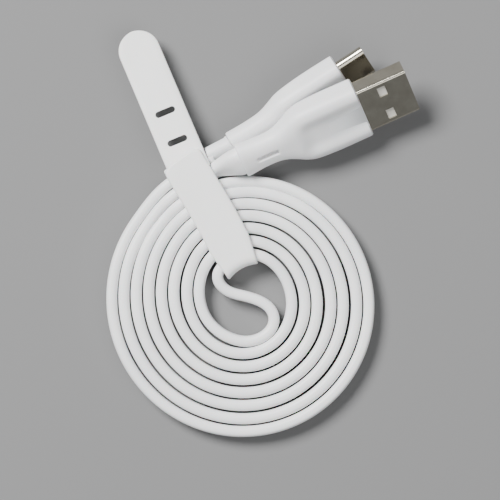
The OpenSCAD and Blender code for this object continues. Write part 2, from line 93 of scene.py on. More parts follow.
# a moulded polymer: a low broad mottle in the colour, and a fine grain that breaks the gloss
def moulded(name, look):
    mat, tree = newMaterial(name)
    coord = addNode(tree, "ShaderNodeTexCoord").outputs["Object"]
    broad = addNode(tree, "ShaderNodeTexNoise", inputs={
        "Vector": coord, "Scale": 1 / (look["mottle"] * mm), "Detail": 3.0})
    grain = addNode(tree, "ShaderNodeTexNoise", inputs={
        "Vector": coord, "Scale": 1 / (look["grain"] * mm), "Detail": 2.0})
    tint = tintOf(tree, broad, look, mouldedLook["mottleLow"], mouldedLook["mottleHigh"])
    rough = addNode(tree, "ShaderNodeMapRange", inputs={
        "Value": grain.outputs["Fac"], "To Min": look["rough"] - mouldedLook["roughSpread"],
        "To Max": look["rough"] + mouldedLook["roughSpread"]})
    bump = addNode(tree, "ShaderNodeBump", inputs={
        "Height": grain.outputs["Fac"], "Strength": look["bump"], "Distance": look["depth"] * mm})
    shader = addNode(tree, "ShaderNodeBsdfPrincipled", inputs={
        "Base Color": tint.outputs["Color"], "Roughness": rough.outputs["Result"],
        "Normal": bump.outputs["Normal"], "IOR": look["ior"],
        "Subsurface Weight": look.get("subsurface", 0.0),
        "Subsurface Scale": mouldedLook["lightReach"] * mm,
        "Sheen Weight": look.get("sheen", 0.0), "Coat Weight": look.get("coat", 0.0)})
    finishMaterial(tree, shader)
    return mat


# plated sheet metal: fine lines from rolling along one axis, and a faint cloudiness
def plated(name, look):
    mat, tree = newMaterial(name)
    coord = addNode(tree, "ShaderNodeTexCoord").outputs["Object"]
    turned = addNode(tree, "ShaderNodeMapping", inputs={
        "Vector": coord, "Rotation": (0, 0, math.radians(-look["heading"])),
        "Scale": (platedLook["drawnOut"], 1, 1)})
    lines = addNode(tree, "ShaderNodeTexNoise", inputs={
        "Vector": turned.outputs["Vector"], "Scale": 1 / (look["lines"] * mm), "Detail": 2.0})
    cloud = addNode(tree, "ShaderNodeTexNoise", inputs={
        "Vector": coord, "Scale": 1 / (platedLook["cloud"] * mm), "Detail": 4.0})
    tint = tintOf(tree, cloud, look, platedLook["cloudLow"], platedLook["cloudHigh"])
    rough = addNode(tree, "ShaderNodeMapRange", inputs={
        "Value": lines.outputs["Fac"], "To Min": look["rough"] - platedLook["smoother"],
        "To Max": look["rough"] + platedLook["rougher"]})
    bump = addNode(tree, "ShaderNodeBump", inputs={
        "Height": lines.outputs["Fac"], "Strength": platedLook["bump"],
        "Distance": platedLook["depth"] * mm})
    shader = addNode(tree, "ShaderNodeBsdfPrincipled", inputs={
        "Base Color": tint.outputs["Color"], "Metallic": 1.0,
        "Roughness": rough.outputs["Result"], "Normal": bump.outputs["Normal"]})
    finishMaterial(tree, shader)
    return mat


materials = {
    # soft TPE extruded jacket: satin, a little light passes into it
    "cableJacket": moulded("extruded TPE jacket", {
        "colour": "F7F7F6", "shade": "EEEFF0", "mottle": 9, "grain": 0.22, "rough": 0.42,
        "bump": 0.12, "depth": 0.03, "ior": 1.5, "subsurface": 0.08}),
    # TPE over-moulding with the fine spark texture of its tool: matte white
    "plugGrip": moulded("moulded TPE grip", {
        "colour": "F6F6F6", "shade": "EFEFF0", "mottle": 7, "grain": 0.16, "rough": 0.48,
        "bump": 0.16, "depth": 0.03, "ior": 1.5, "subsurface": 0.06}),
    # silicone rubber, moulded: soft, slightly creamy, a broad dull highlight
    "strapSilicone": moulded("moulded silicone rubber", {
        "colour": "FAFAF8", "shade": "F4F4F1", "mottle": 12, "grain": 0.2, "rough": 0.55,
        "bump": 0.12, "depth": 0.03, "ior": 1.43, "subsurface": 0.12, "sheen": 0.15}),
    # LCP insulators: hard and slightly glossy
    "insulatorWhite": moulded("moulded white LCP", {
        "colour": "E4E2DA", "shade": "DAD7CC", "mottle": 2, "grain": 0.1, "rough": 0.35,
        "bump": 0.1, "depth": 0.02, "ior": 1.6}),
    "insulatorDark": moulded("moulded black LCP", {
        "colour": "2A2A2A", "shade": "1F1F20", "mottle": 2, "grain": 0.1, "rough": 0.38,
        "bump": 0.1, "depth": 0.02, "ior": 1.6}),
    "innerMould": moulded("moulded natural polyethylene", {
        "colour": "DEDBD2", "shade": "D2CEC2", "mottle": 3, "grain": 0.15, "rough": 0.5,
        "bump": 0.12, "depth": 0.03, "ior": 1.51, "subsurface": 0.1}),
    "boardGreen": moulded("solder mask over glass epoxy", {
        "colour": "175233", "shade": "103D26", "mottle": 1.5, "grain": 0.12, "rough": 0.3,
        "bump": 0.15, "depth": 0.02, "ior": 1.55, "coat": 0.3}),
    "chipBlack": moulded("fired ceramic chip", {
        "colour": "242424", "shade": "181818", "mottle": 0.5, "grain": 0.08, "rough": 0.5,
        "bump": 0.1, "depth": 0.01, "ior": 1.6}),
    "wireRed": moulded("red extruded PVC", {
        "colour": "B4201E", "shade": "A01A19", "mottle": 2, "grain": 0.15, "rough": 0.35,
        "bump": 0.08, "depth": 0.02, "ior": 1.53}),
    "wireBlack": moulded("black extruded PVC", {
        "colour": "1D1D1E", "shade": "151516", "mottle": 2, "grain": 0.15, "rough": 0.35,
        "bump": 0.08, "depth": 0.02, "ior": 1.53}),
    "wireGreen": moulded("green extruded PVC", {
        "colour": "1E7A36", "shade": "18662D", "mottle": 2, "grain": 0.15, "rough": 0.35,
        "bump": 0.08, "depth": 0.02, "ior": 1.53}),
    "wireWhite": moulded("white extruded PVC", {
        "colour": "E8E8E6", "shade": "DCDCDA", "mottle": 2, "grain": 0.15, "rough": 0.35,
        "bump": 0.08, "depth": 0.02, "ior": 1.53}),
    # nickel over rolled steel: warm grey, drawn out by rolling lines
    "nickelFront": plated("nickel plated steel, front", {
        "colour": "C9C4B6", "shade": "BBB5A6", "rough": 0.2, "lines": 0.12, "heading": 24}),
    "nickelRear": plated("nickel plated steel, rear", {
        "colour": "C6C1B4", "shade": "B8B2A4", "rough": 0.2, "lines": 0.12, "heading": 33}),
    "contactGold": plated("gold flash over copper alloy", {
        "colour": "E0B45C", "shade": "D2A44C", "rough": 0.22, "lines": 0.08, "heading": 24}),
    "solderTin": plated("reflowed solder", {
        "colour": "C4C6C8", "shade": "B2B4B7", "rough": 0.28, "lines": 0.2, "heading": 24}),
}
print("materials made")


# a closed mesh at the origin, with its faces pointing outwards
def meshPiece(name, verts, faces, material):
    mesh = bpy.data.meshes.new(name)
    mesh.from_pydata([(x * mm, y * mm, z * mm) for x, y, z in verts], [], faces)
    bm = bmesh.new()
    bm.from_mesh(mesh)
    bmesh.ops.recalc_face_normals(bm, faces=bm.faces)
    bm.to_mesh(mesh)
    bm.free()
    for poly in mesh.polygons:
        poly.use_smooth = True
    obj = bpy.data.objects.new(name, mesh)
    bpy.context.scene.collection.objects.link(obj)
    obj.data.materials.append(material)
    return obj


def applyModifiers(obj):
    graph = bpy.context.evaluated_depsgraph_get()
    mesh = bpy.data.meshes.new_from_object(obj.evaluated_get(graph))
    obj.modifiers.clear()
    old = obj.data
    obj.data = mesh
    bpy.data.meshes.remove(old)


def smoothStep(f):
    f = max(0.0, min(1.0, f))
    return f * f * (3 - 2 * f)


def between(a, b, f):
    return a + (b - a) * f


# a rectangle with round corners; w runs across, t is the thickness
def roundSection(w, t, r, perCorner=5):
    points = []
    for k, (sx, sy) in enumerate([(1, 1), (-1, 1), (-1, -1), (1, -1)]):
        for i in range(perCorner):
            angle = math.radians(90 * k + 90 * i / (perCorner - 1))
            points.append((sx * (w / 2 - r) + r * math.cos(angle),
                           sy * (t / 2 - r) + r * math.sin(angle)))
    return points


def ovalSection(w, t, power, n):  # w and t are half sizes; a higher power is squarer
    points = []
    for i in range(n):
        angle = 2 * math.pi * (i + 0.5) / n
        c, s = math.cos(angle), math.sin(angle)
        points.append((w * math.copysign(abs(c) ** (2 / power), c),
                       t * math.copysign(abs(s) ** (2 / power), s)))
    return points


# quads between rings, and a cap on both ends unless the last ring joins the first
def skin(rings, closed=False):
    n, m = len(rings[0]), len(rings)
    verts = [p for ring in rings for p in ring]
    faces = []
    for j in range(m if closed else m - 1):
        for i in range(n):
            a, b = j * n + i, j * n + (i + 1) % n
            k = ((j + 1) % m) * n
            faces.append((a, b, k + (i + 1) % n, k + i))
    if not closed:
        faces += [tuple(range(n)), tuple(m * n - 1 - i for i in range(n))]
    return verts, faces


# a Catmull-Rom curve through points of any number of values, resampled about spacing apart
def curveThrough(points, spacing):
    out = []
    last = len(points) - 1
    for i in range(last):
        p = [points[max(i - 1, 0)], points[i], points[i + 1], points[min(i + 2, last)]]
        chord = math.dist(p[1][:3], p[2][:3])
        steps = max(1, round(chord / spacing))
        for k in range(steps):
            f = k / steps
            out.append([0.5 * (2 * p[1][c] + (p[2][c] - p[0][c]) * f
                        + (2 * p[0][c] - 5 * p[1][c] + 4 * p[2][c] - p[3][c]) * f * f
                        + (3 * p[1][c] - p[0][c] - 3 * p[2][c] + p[3][c]) * f ** 3)
                        for c in range(len(p[1]))])
    out.append(list(points[-1]))
    return out


# rings along x, y, z, roll; the width turns about the route by the roll, 90 is on edge
def rollRings(route, sectionAt):
    rings = []
    last = len(route) - 1
    for j, p in enumerate(route):
        way = (Vector(route[min(j + 1, last)][:3]) - Vector(route[max(j - 1, 0)][:3])).normalized()
        left = Vector((0, 0, 1)).cross(way).normalized()
        up = way.cross(left)
        roll = math.radians(p[3])
        wide = left * math.cos(roll) + up * math.sin(roll)
        thick = up * math.cos(roll) - left * math.sin(roll)
        centre = Vector(p[:3])
        rings.append([centre + wide * a + thick * b for a, b in sectionAt(j / last)])
    return rings


# millimetres; span is what the picture's side takes in at the subject's height
view = {"centre": (0.7, 12.0), "span": 112.4, "height": 620, "subject": 5, "sensor": 36}
# metres and watts
studio = {"floor": "7C7C7C", "floorSize": 3.0, "fibre": 900.0, "fibreDepth": 0.0001,
          "sky": (0.30, 0.31, 0.32, 1), "skyPower": 0.75, "aim": (0, 0.01, 0),
          "key": {"place": (-0.42, 0.40, 0.75), "size": 0.4, "power": 19},
          "fill": {"place": (0.5, -0.35, 0.9), "size": 0.9, "power": 5.0}}


def makeCamera():
    cam = bpy.data.cameras.new("camera")
    cam.sensor_width = view["sensor"]
    cam.lens = view["sensor"] * (view["height"] - view["subject"]) / view["span"]
    obj = bpy.data.objects.new("camera", cam)
    obj.location = [c * mm for c in (*view["centre"], view["height"])]
    cam.clip_start = 0.01
    bpy.context.scene.collection.objects.link(obj)
    bpy.context.scene.camera = obj


def makeFloor():
    size = studio["floorSize"]
    mesh = bpy.data.meshes.new("floor")
    mesh.from_pydata([(-size, -size, 0), (size, -size, 0), (size, size, 0), (-size, size, 0)],
                     [], [(0, 1, 2, 3)])
    floor = bpy.data.objects.new("floor", mesh)
    bpy.context.scene.collection.objects.link(floor)
    mat, tree = newMaterial("matte studio paper")
    coord = addNode(tree, "ShaderNodeTexCoord").outputs["Object"]
    fibre = addNode(tree, "ShaderNodeTexNoise", inputs={
        "Vector": coord, "Scale": studio["fibre"], "Detail": 2.0})
    bump = addNode(tree, "ShaderNodeBump", inputs={
        "Height": fibre.outputs["Fac"], "Strength": 0.05, "Distance": studio["fibreDepth"]})
    shader = addNode(tree, "ShaderNodeBsdfPrincipled", inputs={
        "Base Color": toLinear(studio["floor"]), "Roughness": 0.9, "Normal": bump.outputs["Normal"],
        "Specular IOR Level": 0.1})
    finishMaterial(tree, shader)
    floor.data.materials.append(mat)


def makeLight(name, place, size, power):
    lamp = bpy.data.lights.new(name, "AREA")
    lamp.shape = "DISK"
    lamp.size = size
    lamp.energy = power
    obj = bpy.data.objects.new(name, lamp)
    obj.location = place
    obj.rotation_euler = (Vector(studio["aim"]) - Vector(place)).to_track_quat("-Z", "Y").to_euler()
    bpy.context.scene.collection.objects.link(obj)


def makeWorld():
    world = bpy.data.worlds.new("studio")
    world.use_nodes = True
    sky = world.node_tree.nodes["Background"].inputs
    sky["Color"].default_value = studio["sky"]
    sky["Strength"].default_value = studio["skyPower"]
    bpy.context.scene.world = world


makeCamera()
makeFloor()
makeWorld()
makeLight("key", **studio["key"])
makeLight("fill", **studio["fill"])
print("camera, floor and lights made")


# lengths are in millimetres and angles in degrees, here and in the dictionaries below
cable = {
    "w": 5.0, "t": 2.44, "corner": 1.0,  # the jacket's section, standing on its narrow edge
    "coilR": 31.6, "pitch": 5.84,  # the outer strand's middle at its start, and its step inwards per turn
    "pairGap": 2.9, "pairSqueeze": 0.08,  # between the two strands, and how much closer they lie at +X
    "startAz": 105, "leadAz": 138, "leadClear": 2,  # where the winding starts and the leads leave it
    "rearTurn": 1446, "frontTurn": 1232, "turnStep": 8,  # how far each strand is wound
    "bulge": 2.9, "bulgeAz": 100, "bulgePower": 3, "bulgeFade": 4, "bulgeFrom": 60,  # slack by the strap
    "strapAz": 119, "strapOff": 2.8,  # where the strap crosses
    "lift": 1.25, "humpFlat": 5.3, "humpFoot": 8.4,  # the strands rise over the strap's lower run
    "step": 0.9, "easing": 8,
}
# x, y, z and roll; a roll of 90 stands the cable on edge
leadFront = [[-19.3, 21.8, 3.0, 90], [-16.3, 24.5, 3.8, 90], [-12.8, 26.7, 3.85, 90],
             [-9.35, 28.2, 4.0, 86], [-6.4, 30.15, 4.8, 72]]
leadRear = [[-20.8, 23.95, 2.9, 90], [-17.6, 26.9, 3.7, 90], [-13.1, 29.8, 3.85, 90],
            [-8.9, 33, 3.9, 66]]
crossover = [[-7, 6.8, 3.6, 90], [-6.85, 5.35, 3.2, 90], [-5.95, 3.55, 2.8, 90],
             [-4.16, 2.3, 2.6, 90], [-1.65, 1.9, 2.55, 90], [0.86, 1.3, 2.5, 90],
             [3.55, 0.4, 2.5, 90], [5.5, -1.1, 2.5, 90], [6.4, -3.26, 2.5, 90],
             [5.9, -5.6, 2.5, 90], [4.2, -7.4, 2.5, 90], [1.9, -8.5, 2.5, 90],
             [-0.6, -8.75, 2.5, 90]]


# a point on one of the two strands, this many degrees on from its start
def strandPoint(turn, inset):
    az = math.radians(cable["startAz"] + turn)
    gap = inset * (1 - cable["pairSqueeze"] / cable["pairGap"] * (1 + math.cos(az)) / 2)
    r = cable["coilR"] - gap - cable["pitch"] * turn / 360
    bump = ((1 + math.cos(az - math.radians(cable["bulgeAz"]))) / 2) ** cable["bulgePower"]
    inner = 1 - (r / cable["coilR"]) ** cable["bulgeFade"]
    r += cable["bulge"] * inner * bump * min(1, turn / cable["bulgeFrom"])
    x, y = r * math.cos(az), r * math.sin(az)
    out = math.radians(cable["strapAz"])
    along = x * math.cos(out) + y * math.sin(out)
    across = abs(-x * math.sin(out) + y * math.cos(out) + cable["strapOff"])
    rise = smoothStep((cable["humpFoot"] - across) / (cable["humpFoot"] - cable["humpFlat"]))
    z = cable["w"] / 2 + (cable["lift"] * rise if along > 0 else 0)
    return [x, y, z, 90]


# from the rear plug's boot in along one strand, over the fold and out along the other
def cableRoute(bootFront, bootRear):
    first = cable["leadAz"] - cable["startAz"] + cable["leadClear"]
    inwards = range(first, cable["rearTurn"], cable["turnStep"])
    outwards = range(cable["frontTurn"], first - 1, -cable["turnStep"])
    points = [bootRear] + leadRear[::-1]
    points += [strandPoint(turn, 0) for turn in inwards]
    points += crossover
    points += [strandPoint(turn, cable["pairGap"]) for turn in outwards]
    points += leadFront + [bootFront]
    return eased(curveThrough(points, cable["step"]), cable["easing"])


def eased(route, passes):  # takes small kinks out of a route and leaves its ends where they are
    for _ in range(passes):
        inner = [[(a[c] + 2 * b[c] + d[c]) / 4 for c in range(4)]
                 for a, b, d in zip(route, route[1:], route[2:])]
        route = [route[0]] + inner + [route[-1]]
    return route


def makeCable(bootFront, bootRear):
    route = cableRoute(bootFront, bootRear)
    section = roundSection(cable["w"], cable["t"], cable["corner"])
    verts, faces = skin(rollRings(route, lambda f: section))
    piece = meshPiece("flatCable", verts, faces, materials["cableJacket"])
    length = sum(math.dist(a[:3], b[:3]) for a, b in zip(route, route[1:]))
    return piece, [[c * mm for c in p[:3]] for p in route], length * mm


# each plug points along its own +X from its place, with the shell's root at 0; stations and cavity
# hold x, half width, half thickness and squareness, and scoop a thumb panel's start, depth and half width
usbA = {"place": (25.6, 44, 9.2), "turn": (41, -2.5, 24), "gripL": 29.5, "cableStop": 19,
        "bootW": 7, "bootT": 4.2, "body": "front_plug",
        "stations": [(-29.5, 4.05, 2.4, 2.4), (-29.35, 4.28, 2.65, 2.4), (-29.0, 4.35, 2.7, 2.4),
                     (-25, 3.9, 2.6, 2.4), (-21.5, 3.9, 2.65, 2.5), (-19.5, 4.45, 2.85, 2.6),
                     (-17.5, 5.45, 3.05, 2.9), (-15.5, 6.5, 3.3, 3.4), (-13, 7.1, 3.4, 4),
                     (-8, 7.25, 3.45, 4.6), (-1, 7.15, 3.4, 5), (-0.25, 7.08, 3.35, 5), (0, 6.9, 3.2, 5)],
        "cavity": [(0, 6.5, 2.75, 6), (-8.5, 6.5, 2.75, 6), (-9, 5.55, 2.35, 5), (-14.5, 5.55, 2.35, 5),
                   (-15, 3.3, 1.75, 5), (-19, 3.3, 1.75, 5), (-19.3, 2.53, 1.28, 6),
                   (-29.4, 2.53, 1.28, 6)],
        "slit": (-26, -20.8), "scoop": (-16.2, 0.7, 5.3)}
usbC = {"place": (21.6, 51.3, 6.2), "turn": (46, -4.4, 33), "gripL": 29.4, "cableStop": 16.5,
        "bootW": 6.6, "bootT": 4, "body": "rear_plug",
        "stations": [(-29.4, 3.6, 2.3, 2.4), (-29.25, 3.85, 2.55, 2.4), (-28.9, 3.9, 2.6, 2.4),
                     (-25, 3.6, 2.5, 2.4), (-21.5, 3.55, 2.5, 2.5), (-19.5, 3.85, 2.6, 2.6),
                     (-17.5, 4.5, 2.75, 2.9), (-15.5, 5.15, 2.85, 3.4), (-13, 5.4, 2.9, 4),
                     (-8, 5.5, 2.95, 4.6), (-1, 5.35, 2.9, 5), (-0.25, 5.28, 2.84, 5), (0, 5.1, 2.7, 5)],
        "cavity": [(0, 4.65, 2.05, 6), (-14.5, 4.65, 2.05, 5), (-14.9, 3.05, 1.65, 5),
                   (-16.5, 3.05, 1.65, 5), (-16.8, 2.53, 1.28, 6), (-29.3, 2.53, 1.28, 6)],
        "slit": (-25.9, -20.8), "scoop": (-15.8, 0.55, 4.0)}


# count is points round a section and fine the spacing along; lip is a share of the boot's length
grip = {"count": 96, "fine": 0.3, "scoopRun": 4, "scoopSide": 3.4,
        "faceGain": 1.6, "faceFrom": 0.4,
        "slitHalf": 0.45, "slitDeep": 1.2, "slitEnd": 0.4, "slitSide": 0.2}
boot = {"count": 64, "fine": 0.16, "reach": 1.2, "overCable": 0.6, "fit": 0.05, "power": 2.8,
        "holePower": 5, "lip": 0.03, "lipShrink": 0.06}
cableEnd = {"fine": 0.4, "clear": 0.06}


def plugMatrix(plug):
    turn = Euler([math.radians(a) for a in plug["turn"]], "XYZ").to_matrix().to_4x4()
    return Matrix.Translation(plug["place"]) @ turn


# from the lead's last point through the boot and straight in along the neck
def collarRoute(plug, lead):
    place = plugMatrix(plug)
    roll = plug["turn"][0]
    last = lead[-1]
    near = place @ Vector((-plug["gripL"] - boot["reach"], 0, 0))
    neck = place @ Vector((-plug["gripL"], 0, 0))
    inside = place @ Vector((-plug["cableStop"], 0, 0))
    mid = (Vector(last[:3]) + near) / 2
    return [last, [*mid, (last[3] + roll) / 2], [*near, roll], [*neck, roll], [*inside, roll]]


# how deep the strain-relief slit is at a place on the neck's two wide sides
def slitDepth(x, y, slit):
    end = min(x - slit[0], slit[1] - x)
    side = smoothStep((grip["slitHalf"] - abs(y)) / grip["slitSide"])
    return grip["slitDeep"] * smoothStep(end / grip["slitEnd"]) * side


# the over-moulded grip as a hollow shell: outside, round lip, and the cavity for the inner mould
def makeGrip(name, plug, node):
    rings = []
    scoopX, scoopDepth, scoopHalf = plug["scoop"]
    for x, w, t, power in curveThrough(plug["stations"], grip["fine"]):
        ring = []
        for y, z in ovalSection(w, t, power, grip["count"]):
            inScoop = smoothStep((x - scoopX) / grip["scoopRun"])
            inScoop *= smoothStep((scoopHalf - abs(y)) / grip["scoopSide"])
            onFace = smoothStep(abs(z) / t * grip["faceGain"] - grip["faceFrom"])  # 0 on the sides
            dip = (scoopDepth * inScoop + slitDepth(x, y, plug["slit"])) * onFace
            z -= math.copysign(dip, z)
            ring.append((x, y, z))
        rings.append(ring)
    for x, w, t, power in plug["cavity"]:
        rings.append([(x, y, z) for y, z in ovalSection(w, t, power, grip["count"])])
    verts, faces = skin(rings, closed=True)
    place = plugMatrix(plug)
    piece = meshPiece(name, [place @ Vector(v) for v in verts], faces, materials["plugGrip"])
    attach(piece, plug["body"])
    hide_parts(node)
    return piece


def makeBoot(name, plug, lead, node):  # the tapered boot, bent from the neck down to the cable
    route = curveThrough(collarRoute(plug, lead)[:4], boot["fine"])

    def outside(f):
        grow = 1 - smoothStep((boot["lip"] - f) / boot["lip"]) * boot["lipShrink"]
        w = between((cable["w"] + boot["overCable"]) / 2, plug["bootW"] / 2, f) * grow
        t = between((cable["t"] + boot["overCable"]) / 2, plug["bootT"] / 2, f) * grow
        return ovalSection(w, t, boot["power"], boot["count"])

    def inside(f):
        w, t = cable["w"] / 2 + boot["fit"], cable["t"] / 2 + boot["fit"]
        return ovalSection(w, t, boot["holePower"], boot["count"])

    rings = rollRings(route, outside) + rollRings(route, inside)[::-1]
    verts, faces = skin(rings, closed=True)
    piece = meshPiece(name, verts, faces, materials["plugGrip"])
    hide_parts(node)
    return piece


# the last stretch of jacket, through the boot and the neck to where it is stripped
def makeCableEnd(name, plug, lead, node):
    route = curveThrough(collarRoute(plug, lead), cableEnd["fine"])
    clear = cableEnd["clear"]
    section = roundSection(cable["w"] - clear, cable["t"] - clear, cable["corner"])
    verts, faces = skin(rollRings(route, lambda f: section))
    piece = meshPiece(name, verts, faces, materials["cableJacket"])
    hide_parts(node)
    return piece


def bendWithPlug(piece):  # bakes the piece's placement into its mesh
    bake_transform(piece)


strap = {
    "t": 1.1, "w": 9.6, "neckW": 7.6, "widenX": 14, "edge": 0.38,  # the band, narrower in the hole
    "wallX": 7.4, "creaseX": 34.4, "creaseTurn": 6,  # its upright walls, inner and outer
    "step": 0.5, "bend": 1.7, "footBend": 0.9, "splitZ": 2.6,  # loop and head meet at splitZ
    "headSlope": 3.1, "hingeGap": 0.15, "tabGap": 0.05, "corner": 1.3, "endRound": 0.2,
    "bow": 0.45, "bowX": 8, "bowRun": 24,  # the head's slight sideways bow
    "skewX": 24, "skewRun": 8, "cup": 0.9, "cupX": 13, "cupRun": 4,  # where skew and cup set in
    "peg": ((0.75, 0), (-0.35, 0), (-0.5, 0.25)), "pegClear": 0.3,  # peg: heights and taper
    "tailTurn": -12, "tailOff": -1.1, "tailPitch": 4, "tailL": 30, "tailStep": 0.45,  # droops by tailPitch
    "tabL": 3.2, "tabHidden": 1.2, "tipSteps": 16, "tipHalf": 0.6,  # the tab lies under the head
    "slotL": 4.7, "slotW": 1.45, "slotPitch": 7, "firstSlot": 3.4, "slots": 3, "slotCut": 4,
    "sharpFrom": 40, "headReach": 2.2, "headRise": 0.4, "tailReach": 1.2,  # where the bends begin and end
}
pivotX = strap["wallX"] + strap["t"] / 2
pivotZ = cable["w"] + cable["lift"] + strap["hingeGap"] + strap["t"] / 2
slope = math.tan(math.radians(strap["headSlope"]))
tailZ = pivotZ + (strap["creaseX"] - pivotX) * slope - strap["t"] - strap["tabGap"]
tailHingeX = strap["t"] + strap["hingeGap"] + strap["t"] / 2


def turnZ(degrees):
    return Matrix.Rotation(math.radians(degrees), 4, "Z")


strapFrame = turnZ(cable["strapAz"]) @ Matrix.Translation((0, -cable["strapOff"], 0))
creaseFrame = strapFrame @ Matrix.Translation((strap["creaseX"], 0, 0)) @ turnZ(strap["creaseTurn"])
tailFrame = (creaseFrame @ Matrix.Translation((tailHingeX, 0, tailZ)) @ turnZ(strap["tailTurn"])
             @ Matrix.Translation((0, strap["tailOff"], 0)))


def strapHalfWidth(x):
    f = smoothStep((x - strap["wallX"]) / (strap["widenX"] - strap["wallX"]))
    return between(strap["neckW"], strap["w"], f) / 2


# a flat band's section: round edges and enough points across to bend cleanly
def bandSection(halfW, t, edge, across=9, corner=4):
    points = []
    for side in (1, -1):
        flat = [between(-1, 1, k / (across - 1)) * side * (halfW - edge) for k in range(across)]
        points += [(-y, side * t / 2) for y in flat[1:-1]]
        for k in range(corner + 1):
            angle = math.radians(90 - 180 * k / corner)
            points.append((-side * (halfW - edge) - side * edge * math.cos(angle),
                           side * t / 2 * math.sin(angle)))
    return points


# path has x, z, half width and the middle's y; the section stands square to the path
def bandRings(path, place, lean=None):
    rings = []
    last = len(path) - 1
    for j, (x, z, halfW, midY) in enumerate(path):
        a, b = path[max(j - 1, 0)], path[min(j + 1, last)]
        run, rise = b[0] - a[0], b[1] - a[1]
        size = math.hypot(run, rise)
        upX, upZ = -rise / size, run / size
        ring = []
        for y, n in bandSection(halfW, strap["t"], strap["edge"]):
            along = lean(x, y + midY, halfW) if lean else 0
            ring.append(place @ Vector((x + upX * n + along, y + midY, z + upZ * n)))
        rings.append(ring)
    return rings


# draws the band's end in over the last little bit, so that it isn't a sharp cut
def roundEnd(path, edge, shrink=0.8):
    x, z, halfW, midY = path[-1]
    px, pz = path[-2][0], path[-2][1]
    size = math.hypot(x - px, z - pz)
    ux, uz = (x - px) / size, (z - pz) / size
    return path[:-1] + [(x - ux * edge, z - uz * edge, halfW, midY),
                        (x, z, halfW - edge * shrink, midY)]


# x, z corners joined by arcs of the given radius, as closely spaced points
def arcPath(points, radius, step, arcSteps=10):
    out = [points[0]]
    for i in range(1, len(points) - 1):
        a, p, b = Vector(points[i - 1]), Vector(points[i]), Vector(points[i + 1])
        u, v = (a - p).normalized(), (b - p).normalized()
        back = radius / math.tan(u.angle(v) / 2)
        start, end = p + u * back, p + v * back
        for k in range(arcSteps + 1):
            f = k / arcSteps
            out.append(tuple(start * (1 - f) ** 2 + p * 2 * f * (1 - f) + end * f * f))
    out.append(points[-1])
    fine = []
    for i in range(len(out) - 1):
        n = max(1, round(math.dist(out[i], out[i + 1]) / step))
        fine += [tuple(Vector(out[i]).lerp(Vector(out[i + 1]), k / n)) for k in range(n)]
    return fine + [out[-1]]


# how far a point is shifted along the strap: the crease is askew and the fold in the hole cupped
def strapLean(x, y, halfW):
    near = smoothStep((x - strap["skewX"]) / strap["skewRun"])
    skew = -math.tan(math.radians(strap["creaseTurn"])) * near
    cup = -strap["cup"] * smoothStep((strap["cupX"] - x) / strap["cupRun"])
    return skew * y + cup * min(1, y * y / halfW ** 2)


headEndX = strap["creaseX"] + strap["t"]


def makeStrapLoop():  # under the coil, up inside its hole and up round its outside, in one piece
    x0, x1 = pivotX, strap["creaseX"] + strap["t"] / 2
    under = strap["t"] / 2
    centre = arcPath([(x0, strap["splitZ"]), (x0, under), (x1, under), (x1, tailZ)],
                     strap["footBend"], strap["step"])
    path = [(x, z, strapHalfWidth(x), 0) for x, z in centre]
    verts, faces = skin(bandRings(path, strapFrame, strapLean))
    piece = meshPiece("strapLoop", verts, faces, materials["strapSilicone"])
    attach(piece, "cable")
    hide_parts("strap_loop")


# a slot's outline, with its length across the strap
def stadiumRing(x, z, length, width, count=12):
    r = width / 2
    ring = []
    for k in range(2 * count):
        angle = math.pi * k / count
        side = 1 if k < count else -1
        ring.append((x + r * math.cos(angle), side * (length / 2 - r) + r * math.sin(angle), z))
    return ring


# from inside the hole, over in a soft bend and out along the top, with the peg under its end
def makeStrapHead():
    bendTop = (pivotX, pivotZ)
    end = (headEndX, pivotZ + (headEndX - pivotX) * slope)
    centre = arcPath([(pivotX, strap["splitZ"]), bendTop, end], strap["bend"], strap["step"])
    corner = strap["corner"]
    path = []
    for x, z in centre:
        bow = strap["bow"] * math.sin(math.pi * max(0, min(1, (x - strap["bowX"]) / strap["bowRun"])))
        into = min(max(0, corner - (headEndX - x)), corner * 0.98)  # the two rounded corners
        halfW = strapHalfWidth(x) - (corner - math.sqrt(corner ** 2 - into ** 2))
        path.append((x, z, halfW, -bow))
    path = roundEnd(path, strap["endRound"])
    verts, faces = skin(bandRings(path, strapFrame, strapLean))
    piece = meshPiece("strapHead", verts, faces, materials["strapSilicone"])
    pegX = strap["firstSlot"] - strap["slotPitch"]
    length, width = strap["slotL"] - strap["pegClear"], strap["slotW"] - strap["pegClear"]
    rings = [[tailFrame @ Vector(v) for v in stadiumRing(pegX, z, length - d, width - d)]
             for z, d in strap["peg"]]
    pegVerts, pegFaces = skin(rings)
    peg = meshPiece("peg", pegVerts, pegFaces, materials["strapSilicone"])
    joinInto(piece, peg)
    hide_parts("strap_head")
    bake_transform(piece)


def joinInto(piece, other):
    bm = bmesh.new()
    bm.from_mesh(piece.data)
    bm.from_mesh(other.data)
    bm.to_mesh(piece.data)
    bm.free()
    bpy.data.objects.remove(other)


